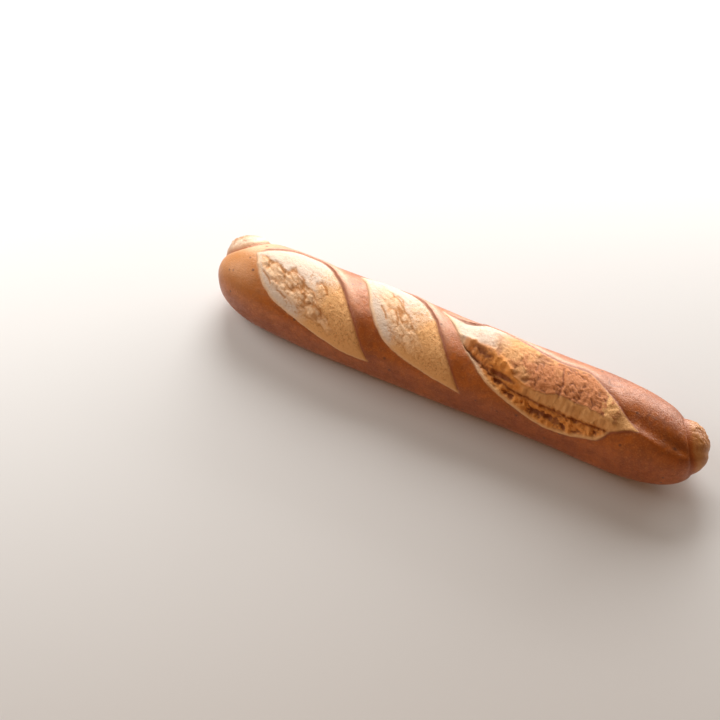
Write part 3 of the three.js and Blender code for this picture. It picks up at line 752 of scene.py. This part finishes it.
def make_loaf():
    """The whole crust as one closed mesh, centred as the solid is and drawn in by a hair to stay in its box."""
    t = np.linspace(-1, 1, RINGS + 2)[1:-1]
    middle = HALF * ((1 - RING_CROWDING) * t + RING_CROWDING * np.sin(np.pi / 2 * t))
    slant = RING_SLANT * ramp(0, SLANT_FADE, HALF - np.abs(middle))
    degrees = angles_round()
    x = middle[:, None] - slant[:, None] * np.sin(np.radians(degrees))
    x, degrees = np.broadcast_arrays(x, degrees)
    x = np.append(x.ravel(), [-HALF, HALF])
    degrees = np.append(degrees.ravel(), [0, 0])
    points, traits = crust_points(x, degrees)

    low, high = points.min(axis=0), points.max(axis=0)
    solid_low, solid_high = (np.array(corner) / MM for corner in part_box("baguette"))
    scale = np.minimum((solid_high - solid_low) / (high - low), 1) * INSET
    shift = (solid_low + solid_high) / 2 - scale * (low + high) / 2
    shift[2] = solid_low[2] - scale[2] * low[2]
    points = points * scale + shift

    mesh = bpy.data.meshes.new("loaf_crust")
    mesh.from_pydata((points * MM).tolist(), [], grid_faces())
    for name in TRAITS:
        trait = mesh.attributes.new(name, "FLOAT", "POINT")
        trait.data.foreach_set("value", np.broadcast_to(traits[name], len(points)).astype(np.float32))
    mesh.polygons.foreach_set("use_smooth", np.ones(len(mesh.polygons), bool))
    loaf = bpy.data.objects.new("loaf_crust", mesh)
    bpy.context.collection.objects.link(loaf)
    return loaf


def linear(hex_colour):
    """An sRGB hex colour as linear red, green, blue and alpha."""
    srgb = np.array([int(hex_colour[i : i + 2], 16) for i in (1, 3, 5)]) / 255
    rgb = np.where(srgb <= 0.04045, srgb / 12.92, ((srgb + 0.055) / 1.055) ** 2.4)
    return (*rgb, 1)


def per_mm(size):
    """The texture scale that makes a pattern's features about this many millimetres across."""
    return 1 / (size * MM)


def add(tree, kind, inputs=None, **settings):
    """Adds a node. Its settings are named, and each input is a value or another node's output."""
    node = tree.nodes.new(kind)
    for name, value in settings.items():
        setattr(node, name, value)
    for socket, value in (inputs or {}).items():
        if isinstance(value, bpy.types.NodeSocket):
            tree.links.new(value, node.inputs[socket])
        else:
            node.inputs[socket].default_value = value
    return node


def new_material(name):
    """An empty material, with its node tree and its shader."""
    material = bpy.data.materials.new(name)
    material.use_nodes = True
    tree = material.node_tree
    tree.nodes.clear()
    shader = add(tree, "ShaderNodeBsdfPrincipled")
    add(tree, "ShaderNodeOutputMaterial", {"Surface": shader.outputs[0]})
    return material, tree, shader


def lay_colours(tree, marks, base, layers):
    """The base colour under its layers. Each is (mark, strength, colour), and covers by its mark times its strength.

    The base is a hex value or a node's output. A layer's colour is a hex value, or again a base and its layers.
    """
    colour = linear(base) if isinstance(base, str) else base
    for mark, strength, over in layers:
        over = linear(over) if isinstance(over, str) else lay_colours(tree, marks, *over)
        share = add(tree, "ShaderNodeMath", {0: marks[mark], 1: strength}, operation="MULTIPLY").outputs[0]
        colour = add(tree, "ShaderNodeMix", {0: share, 6: colour, 7: over}, data_type="RGBA").outputs[2]
    return colour


def all_marks(tree):
    """Every mark that the crust's colour and grain read: the traits of the mesh, noise, and masks from 0 to 1."""
    place = add(tree, "ShaderNodeTexCoord").outputs["Object"]
    marks = {name: add(tree, "ShaderNodeAttribute", attribute_name=name).outputs["Fac"] for name in TRAITS}
    for name, (size, detail, roughness, distortion) in CLOUDS.items():
        settings = {"Vector": place, "Scale": per_mm(size), "Detail": detail, "Roughness": roughness}
        marks[name] = add(tree, "ShaderNodeTexNoise", settings | {"Distortion": distortion}).outputs["Fac"]
    cells = add(tree, "ShaderNodeTexVoronoi", {"Vector": place, "Scale": per_mm(SPECK_SPACING), "Randomness": 1.0})
    marks["speck_cells"] = cells.outputs["Distance"]
    for name, (trait, weight, other) in SUMS.items():
        terms = {0: marks[trait], 1: weight, 2: marks.get(other, other)}
        marks[name] = add(tree, "ShaderNodeMath", terms, operation="MULTIPLY_ADD").outputs[0]
    for name, (source, low, high) in MASKS.items():
        limits = {"Value": marks[source], "From Min": low, "From Max": high}
        marks[name] = add(tree, "ShaderNodeMapRange", limits, interpolation_type="SMOOTHSTEP").outputs["Result"]
    for name, (one, other) in PRODUCTS.items():
        marks[name] = add(tree, "ShaderNodeMath", {0: marks[one], 1: marks[other]}, operation="MULTIPLY").outputs[0]
    return marks


def baked_wheat_crust():
    """Lean wheat dough, steamed and baked: a thin, hard, browned skin with a satin gloss, and where the scores
    opened, a paler, matt, golden skin whose torn crags are toasted.

    It gives a mottled red-brown next to cream. The gloss takes a faint warm tint, as light does under a browned skin.
    """
    material, tree, shader = new_material("baked_wheat_crust")
    marks = all_marks(tree)

    crust = lay_colours(tree, marks, *CRUST_COLOURS)
    crumb = lay_colours(tree, marks, *CRUMB_COLOURS)
    colour = add(tree, "ShaderNodeMix", {0: marks["crumb"], 6: crust, 7: crumb}, data_type="RGBA").outputs[2]
    tree.links.new(lay_colours(tree, marks, colour, EDGE_COLOURS), shader.inputs["Base Color"])

    satin = {"Value": marks["mottle"], "To Min": CRUST_ROUGHNESS[0], "To Max": CRUST_ROUGHNESS[1]}
    satin = add(tree, "ShaderNodeMapRange", satin, interpolation_type="SMOOTHSTEP").outputs["Result"]
    roughness = add(tree, "ShaderNodeMix", {0: marks["crumb"], 2: satin, 3: CRUMB_ROUGHNESS}).outputs[0]
    tree.links.new(roughness, shader.inputs["Roughness"])

    grains = []
    for rows in (CRUST_GRAIN, CRUMB_GRAIN):
        grain = 0.0
        for mark, depth in rows:
            terms = {0: marks[mark], 1: depth, 2: grain}
            grain = add(tree, "ShaderNodeMath", terms, operation="MULTIPLY_ADD").outputs[0]
        grains.append(grain)
    height = add(tree, "ShaderNodeMix", {0: marks["crumb"], 2: grains[0], 3: grains[1]}).outputs[0]
    bump = add(tree, "ShaderNodeBump", {"Strength": 1.0, "Distance": MM, "Height": height})
    tree.links.new(bump.outputs[0], shader.inputs["Normal"])
    shader.inputs["IOR"].default_value = 1.5
    shader.inputs["Specular IOR Level"].default_value = 0.9
    shader.inputs["Specular Tint"].default_value = linear("#fbe0ca")
    return material


def studio_white():
    """Matt painted board: an even, pale surface that throws soft light back up."""
    material, _, shader = new_material("studio_white")
    shader.inputs["Base Color"].default_value = linear("#dbd9d6")
    shader.inputs["Roughness"].default_value = 0.9
    return material


def make_floor():
    """A flat board under the loaf, wide enough to fill every view."""
    mesh = bpy.data.meshes.new("studio_floor")
    reach = 6  # metres, each way
    corners = [(-reach, -reach, 0), (reach, -reach, 0), (reach, reach, 0), (-reach, reach, 0)]
    mesh.from_pydata(corners, [], [(0, 1, 2, 3)])
    mesh.materials.append(studio_white())
    floor = bpy.data.objects.new("studio_floor", mesh)
    bpy.context.collection.objects.link(floor)


def add_softbox(name, place, width, height, power, colour="#ffffff"):
    """An oblong light of this width and height in metres, that faces the loaf from its place in metres."""
    light = bpy.data.lights.new(name, "AREA")
    light.shape = "RECTANGLE"
    light.size = width
    light.size_y = height
    light.energy = power
    light.color = linear(colour)[:3]
    lamp = bpy.data.objects.new(name, light)
    lamp.location = place
    lamp.rotation_euler = (-Vector(place)).to_track_quat("-Z", "Y").to_euler()
    bpy.context.collection.objects.link(lamp)


def light_studio():
    """A broad light high behind the loaf's left end and a low, wide one behind it, which put the gloss on the crest.

    A weak warm one in front fills the near side, a small one lights the left end, and the surround is pale and warm.
    """
    add_softbox("back_softbox", (-0.44, 0.95, 0.75), 0.9, 0.7, 17)
    add_softbox("low_softbox", (0.0, 1.0, 0.24), 1.4, 0.44, 14.5)
    add_softbox("front_glow", (0.35, -1.0, 0.45), 0.9, 0.9, 2.2, "#ffc896")
    add_softbox("left_softbox", (-0.85, -0.05, 0.55), 0.6, 0.6, 5)
    world = bpy.data.worlds.new("studio_surround")
    world.use_nodes = True
    background = world.node_tree.nodes["Background"]
    background.inputs["Color"].default_value = linear("#ffdbb6")
    background.inputs["Strength"].default_value = 0.12
    bpy.context.scene.world = world
    bpy.context.scene.view_settings.view_transform = "Standard"


def place_camera():
    """The photograph's view: from the front right, 57 degrees up, with the loaf in the right of the frame."""
    turn, rise = np.radians(VIEW_TURN), np.radians(VIEW_RISE)
    towards_camera = Vector((np.sin(turn) * np.cos(rise), -np.cos(turn) * np.cos(rise), np.sin(rise)))
    right = Vector((np.cos(turn), np.sin(turn), 0))
    data = bpy.data.cameras.new("camera")
    data.lens = FOCAL_LENGTH
    camera = bpy.data.objects.new("camera", data)
    camera.location = (VIEW_MIDDLE + towards_camera * VIEW_DISTANCE) * MM
    look_at = (VIEW_MIDDLE - right * VIEW_ASIDE - towards_camera.cross(right) * VIEW_BELOW) * MM
    camera.rotation_euler = (look_at - camera.location).to_track_quat("-Z", "Y").to_euler()
    bpy.context.collection.objects.link(camera)
    bpy.context.scene.camera = camera


place_camera()
light_studio()
make_floor()
loaf = make_loaf()
loaf.data.materials.append(baked_wheat_crust())
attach(loaf, "root")
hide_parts("baguette")
